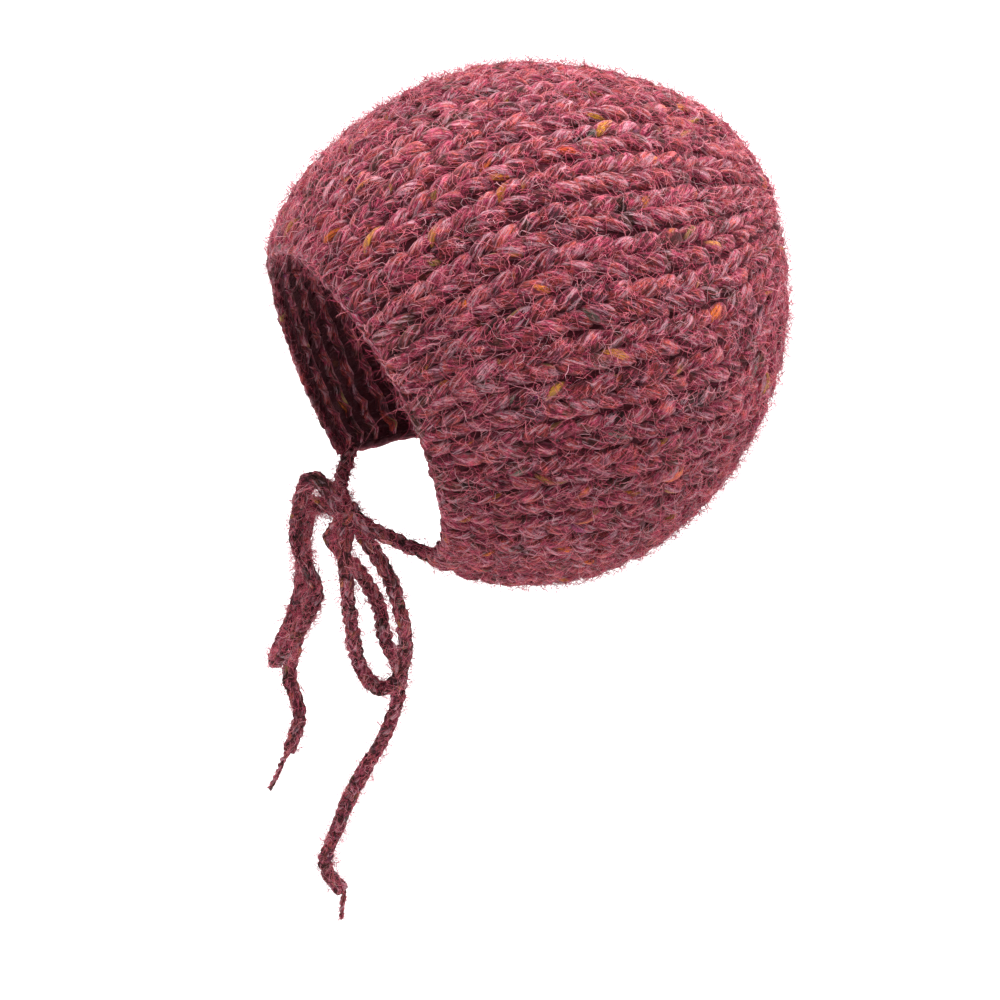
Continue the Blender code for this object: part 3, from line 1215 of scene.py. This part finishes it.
# Direction in which each cord leaves the knot
KNOT_EXITS = {
    "tie_left": (0.88, 0.20, 0.43),
    "tie_right": (-0.88, 0.30, 0.36),
    "loop_left_a": (0.62, -0.45, -0.64),
    "loop_left_b": (0.75, 0.35, -0.56),
    "loop_right_a": (-0.45, -0.50, 0.74),
    "loop_right_b": (-0.85, -0.45, -0.10),
    "tail_short": (-0.72, 0.38, -0.58),
    "tail_long": (-0.45, -0.42, -0.79),
}

# Routes of the cords, as listed points in millimetres, the same as the imported model's
ROUTES = {
    "tie_left": ((10.5, -45.0, -93.0),),
    "tie_right": ((-10.5, -44.5, -93.5),),
    "bow_loop_left": (
        (5.2, -52.0, -102.0), (6.3, -52.0, -112.5), (6.8, -51.5, -125.0), (7.0, -49.8, -136.0),
        (9.0, -46.6, -142.3), (11.6, -43.0, -139.5), (13.4, -41.2, -131.5), (13.4, -41.0, -122.5),
        (12.2, -42.2, -113.5), (10.2, -43.6, -105.5),
    ),
    "bow_loop_right": (
        (-6.4, -52.6, -85.6), (-9.4, -54.4, -89.5), (-10.2, -56.0, -96.0), (-10.4, -57.0, -105.0),
        (-9.2, -55.2, -113.2), (-7.8, -53.6, -120.2), (-8.9, -55.0, -127.6), (-10.8, -57.8, -134.5),
        (-13.4, -60.0, -141.5), (-17.1, -60.9, -147.6), (-21.0, -60.0, -149.8), (-22.6, -57.0, -146.6),
        (-21.8, -54.0, -139.0), (-20.2, -52.0, -128.0), (-19.6, -51.2, -116.0), (-18.8, -51.0, -106.0),
        (-14.2, -51.2, -98.4),
    ),
    "tail_short": (
        (-12.0, -45.2, -101.0), (-20.5, -45.6, -105.5), (-25.2, -46.6, -112.5), (-26.8, -47.6, -122.5),
        (-26.6, -47.4, -133.8), (-27.1, -48.4, -143.7), (-27.0, -50.6, -151.4), (-26.2, -53.2, -157.0),
        (-24.0, -55.0, -161.0), (-20.8, -55.2, -165.0), (-18.6, -55.4, -169.3), (-18.2, -56.8, -174.8),
        (-18.4, -59.0, -180.4),
    ),
    "tail_long": (
        (-4.8, -50.4, -102.8), (-5.2, -47.0, -110.5), (-4.2, -42.8, -118.5), (-2.4, -39.6, -128.0),
        (-1.9, -38.4, -139.5), (0.6, -36.0, -148.5), (0.3, -36.9, -158.2), (-1.5, -39.9, -170.0),
        (-4.1, -44.4, -181.8), (-6.7, -48.9, -194.0), (-8.8, -52.4, -207.0), (-10.1, -54.6, -215.8),
        (-9.2, -53.2, -222.4), (-7.9, -51.0, -226.2),
    ),
    "yarn_end_short": ((-19.2, -60.6, -183.8), (-20.0, -61.8, -188.2), (-21.2, -64.0, -194.3)),
    "yarn_end_long": ((-7.8, -50.9, -229.4), (-8.2, -51.4, -233.2), (-8.0, -51.8, -237.2)),
}


def route(name: str) -> Array:
    """Points of a route, in metres."""
    return np.array(ROUTES[name]) * MM


def knot_exit(name: str) -> Array:
    """Point under the knot's surface from which a cord leaves it."""
    return KNOT_CENTRE + unit(np.array(KNOT_EXITS[name])) * (KNOT_RADIUS - KNOT_SINK)


def cheek_exit(side: float) -> Array:
    """Point at the neck edge of the left cheek, for 1, or the right one, for -1, where a tie starts."""
    row = np.array(CHEEK_INSET / (FORM.head_radius * (math.pi - FORM.face_reach)))
    return FORM.points(np.array(side), row, np.array(0.0))


@dataclass
class KnittedCord:
    """Narrow knitted cord: three columns of small stitches round a soft core."""

    name: str
    points: Array
    nodes: tuple[str, ...]
    far_end: str
    lay: str = "hanging"
    diameter: float = 0.0042
    columns: int = 3
    stitch_height: float = 0.0031
    # Turn of the columns round the cord, in radians a metre
    twist: float = 26.0
    # Hairs for each square metre
    fuzz_density: float = 950000.0
    fuzz_radius: float = 0.000053
    seed: int = 100

    def __post_init__(self) -> None:
        """Run the line of the cord."""
        self.line = Line(self.points)

    def make_stitches(self, material: Material) -> Piece:
        """The cord itself.

        Args:
            material: the yarn.

        Returns:
            The piece.
        """
        maker = MeshMaker(self.name, spindle(6, 8, 3.6), self.seed)
        along, around, girth = maker.axes
        whole = self.line.length
        rows = max(2, round(whole / self.stitch_height))
        height = whole / rows
        leg = 0.26 * self.diameter
        arch = np.sin(math.pi * clamp(along))
        for hand in (-1.0, 1.0):
            for number in range(self.columns):
                jitter = maker.rng.normal(size=(6, rows, 1))
                row = np.arange(rows)[:, None] + 0.5 * number / self.columns
                size = leg * (1.0 + 0.10 * jitter[0]) * girth
                length = (row - 0.30 + 1.55 * along + 0.07 * jitter[1]) * height
                length = length + 0.12 * height * girth * np.cos(around) * hand
                column = number + (0.08 + 0.27 * along) * hand + 0.04 * jitter[2]
                centre = self.diameter * (0.17 + 0.10 * arch) + 0.00010 * jitter[3]
                radius = centre + 0.82 * size * np.sin(around)
                angle = column * TURN / self.columns + self.twist * length
                angle = angle + size * np.cos(around) / np.maximum(centre, 0.0006)
                places = self.line.place(np.clip(length, 0.0, whole), angle, np.maximum(radius, 0.00015))
                # Painted shade darkens the parts of the stitches that lie close to the cord's middle
                proud = (radius / self.diameter - 0.29) / 0.19
                maker.add_yarn(places, (0.0048, 0.0012), 0.5 + 0.30 * jitter[4], proud, 1.0)
        return maker.finish(material, Slot.CORD)

    def make_fuzz(self, material: Material) -> Piece:
        """Fine hairs round the cord.

        Args:
            material: the fibres.

        Returns:
            The piece.
        """
        fibres = FibreMaker(self.name + "_fuzz", 3, self.seed + 1)
        count = round(self.line.length * math.pi * self.diameter * self.fuzz_density)
        roots = self.line.roots(fibres.rng, fibres.rng.uniform(0.0, 1.0, count), self.diameter * 0.46)
        fibres.grow(roots, Growth(
            even(0.0018, 0.0050), tailed(0.0006, 1.8, 0.0008, 0.0045), self.fuzz_radius, 50.0, settle=0.2
        ))
        return fibres.finish(material, Slot.CORD)

    def make(self, look: "CordLook", with_pieces: list[Piece]) -> None:
        """Args:
            look: materials of its stitches and hairs.
            with_pieces: not used.
        """
        cord = self.make_stitches(look.yarn)
        hairs = self.make_fuzz(look.fuzz)
        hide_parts(*self.nodes)
        LOG.info("%s: %.1f mm long", self.name, self.line.length / MM)


@dataclass(frozen=True)
class CordLook:
    """Materials of the cords: the yarn and its fuzz."""

    yarn: Material
    fuzz: Material


@dataclass
class YarnEnd:
    """Loose end of yarn that hangs from the tip of a tail and frays."""

    name: str
    points: Array
    diameter: float = 0.0013
    plies: int = 2
    bead_length: float = 0.0026
    # Turn of the plies round each other, in radians a metre
    twist: float = 1400.0
    fray_count: int = 90
    fray_radius: float = 0.000050
    seed: int = 300

    def make(self, look: CordLook) -> list[Piece]:
        """Build the yarn and its frayed fibres.

        Args:
            look: materials of the plies and of the fibres.

        Returns:
            The two pieces.
        """
        line = Line(self.points, 0.0004)
        maker = MeshMaker(self.name + "_plies", spindle(6, 8), self.seed)
        along, around, girth = maker.axes
        beads = max(3, round(line.length / self.bead_length))
        length = (np.arange(beads)[:, None] - 0.4 + 1.8 * along) * line.length / beads
        inside = np.clip(length, 0.0, line.length)
        width = self.diameter * (1.4 - 0.30 * inside / line.length)
        way = line.read(line.ways, inside)
        side = unit(np.cross(way, np.array([0.3, 0.8, 0.5])))
        thick = (0.30 * width * girth)[..., None]
        for ply in range(self.plies):
            angle = TURN * ply / self.plies + length * self.twist
            places = line.place(inside, angle, 0.24 * width) + side * np.cos(around)[..., None] * thick
            places = places + np.cross(way, side) * np.sin(around)[..., None] * thick
            maker.add_yarn(places, (0.004, 0.0005), 0.6, 0.8)
        end = maker.finish(look.yarn, Slot.YARN)
        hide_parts(self.name)
        fibres = FibreMaker(self.name + "_fray", 5, self.seed + 1)
        roots = line.roots(fibres.rng, fibres.rng.uniform(0.0, 1.0, self.fray_count) ** 0.6, 0.0003)
        fibres.grow(roots, Growth(
            even(0.001, 0.004), even(0.0003, 0.0017), self.fray_radius, 40.0, bell(0.0, 0.5)
        ))
        return [end, fibres.finish(look.fuzz, Slot.YARN)]


@dataclass
class BowKnot:
    """Tight knot of the knitted cord under the chin."""

    scale: float = 0.00098
    strand: float = 0.0034
    stitch_height: float = 0.0026
    fuzz_density: float = 700000.0
    seed: int = 400

    def make(self, look: CordLook) -> list[Piece]:
        """Build the knot and its fuzz.

        Args:
            look: materials of the stitches and hairs.

        Returns:
            The two pieces.
        """
        turn = np.linspace(0.0, TURN, 49)
        shape = np.stack([
            np.sin(turn) + 2.0 * np.sin(2.0 * turn),
            -1.15 * np.sin(3.0 * turn),
            np.cos(turn) - 2.0 * np.cos(2.0 * turn),
        ], axis=1)
        strand = KnittedCord(
            "bow_knot_wrap",
            KNOT_CENTRE + shape * self.scale,
            ("bow_knot",),
            "knot",
            diameter=self.strand,
            stitch_height=self.stitch_height,
            fuzz_density=self.fuzz_density,
            seed=self.seed,
        )
        knot = strand.make_stitches(look.yarn)
        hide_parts("bow_knot")
        return [knot, strand.make_fuzz(look.fuzz)]


class Ties:
    """The chin cord, the bow's knot, its two loops, its two tails and their yarn ends."""

    def __init__(self) -> None:
        """Make the materials of the cords."""
        fuzz = FibreFinish("cord_halo_fibres", HALO_FINISH.stops)
        self.look = CordLook(CORD_FINISH.material(), fuzz.material())

    def make_cord(
        self, node: str, points: Array, far_end: str, seed: int, with_pieces: list[Piece]
    ) -> None:
        """Build one cord of the bow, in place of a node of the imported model.

        Args:
            node: name of the node.
            points: the cord's route.
            far_end: what its far end is.
            seed: seed of its random numbers.
            with_pieces: other pieces on it.
        """
        KnittedCord(node + "_cord", points, (node,), far_end, seed=seed).make(self.look, with_pieces)

    def make(self) -> None:
        """Build all the cords."""
        knot = BowKnot().make(self.look)
        chin = np.stack([
            cheek_exit(1.0), *route("tie_left"), knot_exit("tie_left"),
            knot_exit("tie_right"), *route("tie_right"), cheek_exit(-1.0),
        ])
        tie = KnittedCord("chin_tie", chin, ("tie_left", "tie_right"), "object", lay="taut", seed=110)
        tie.make(self.look, knot)
        for name, seed in (("loop_left", 120), ("loop_right", 130)):
            points = np.stack([knot_exit(name + "_a"), *route("bow_" + name), knot_exit(name + "_b")])
            self.make_cord("bow_" + name, points, "knot", seed, [])
        for name, seed in (("short", 140), ("long", 150)):
            points = np.stack([knot_exit("tail_" + name), *route("tail_" + name)])
            loose = np.stack([points[-1], *route("yarn_end_" + name)])
            end = YarnEnd("yarn_end_" + name, loose, seed=seed + 5).make(self.look)
            self.make_cord("tail_" + name, points, "bare", seed, end)


@dataclass
class Studio:
    """Pale floor, soft lights and the camera at the photograph's angle."""

    azimuth: float = math.radians(60.0)
    elevation: float = math.radians(36.0)
    distance: float = 0.70
    focal_pixels: float = 3000.0
    frame_pixels: float = 1000.0
    head_pixel: tuple[float, float] = (525.0, 325.0)
    floor_height: float = -0.262
    floor_size: float = 14.0
    sky: float = 0.60
    # Name, place, length of the sides and power in watts of each soft light
    lights: tuple[tuple[str, Place, float, float], ...] = (
        ("top_softbox", (-0.25, 0.20, 1.25), 1.1, 28.0),
        ("back_softbox", (-0.80, 0.55, 0.80), 0.9, 12.0),
        ("side_softbox", (0.05, 1.05, 0.60), 0.8, 9.0),
    )
    light_aim: Place = (0.0, 0.0, -0.07)

    def make_camera(self) -> None:
        """Camera that looks at the bonnet as the photograph does."""
        data = bpy.data.cameras.new("camera")
        data.sensor_width = 36.0
        data.lens = data.sensor_width * self.focal_pixels / self.frame_pixels
        camera = link("camera", data)
        out = Vector((
            math.sin(self.azimuth) * math.cos(self.elevation),
            -math.cos(self.azimuth) * math.cos(self.elevation),
            math.sin(self.elevation),
        ))
        middle = self.frame_pixels / 2.0
        down = math.atan((middle - self.head_pixel[1]) / self.focal_pixels)
        aside = math.atan((self.head_pixel[0] - middle) / self.focal_pixels)
        camera.rotation_mode = "QUATERNION"
        camera.location = Vector(FORM.centre) + out * self.distance
        look = (-out).to_track_quat("-Z", "Y")
        camera.rotation_quaternion = look @ Euler((-down, aside, 0.0)).to_quaternion()
        bpy.context.scene.camera = camera

    def make_lights(self) -> None:
        """Square soft lights that point at the bonnet, and an even white sky."""
        for name, place, size, power in self.lights:
            data = bpy.data.lights.new(name, "AREA")
            data.shape = "SQUARE"
            data.size = size
            data.energy = power
            light = link(name, data)
            light.location = place
            light.rotation_mode = "QUATERNION"
            way = Vector(self.light_aim) - Vector(place)
            light.rotation_quaternion = way.to_track_quat("-Z", "Y")
        world = bpy.data.worlds.new("studio")
        world.use_nodes = True
        background = world.node_tree.nodes["Background"]
        background.inputs["Color"].default_value = (1.0, 1.0, 1.0, 1.0)
        background.inputs["Strength"].default_value = self.sky
        bpy.context.scene.world = world

    def make(self) -> None:
        """Build the studio."""
        self.make_camera()
        work = bmesh.new()
        bmesh.ops.create_grid(work, x_segments=1, y_segments=1, size=self.floor_size / 2.0)
        bmesh.ops.translate(work, verts=work.verts, vec=(0.0, 0.0, self.floor_height))
        mesh = bpy.data.meshes.new("floor")
        work.to_mesh(mesh)
        work.free()
        mesh.materials.append(FloorFinish().material())
        link("floor", mesh)
        self.make_lights()
        bpy.context.scene.view_settings.view_transform = "Standard"


def main() -> None:
    """Build and dress the bonnet."""
    logging.basicConfig(level=logging.INFO, format="%(message)s")
    Studio().make()
    Ties().make()
    knit = KnitBody(KNIT_FINISH.material())
    halo = HALO_FINISH.material()
    pieces = knit.make_stitches()
    pieces.append(knit.make_purl(PURL_FINISH.material()))
    pieces.append(knit.make_edges())
    pieces.extend(FibreCoat().make(SURFACE_FINISH.material(), halo))
    knit.make_cloth()


if __name__ == "__main__":
    main()
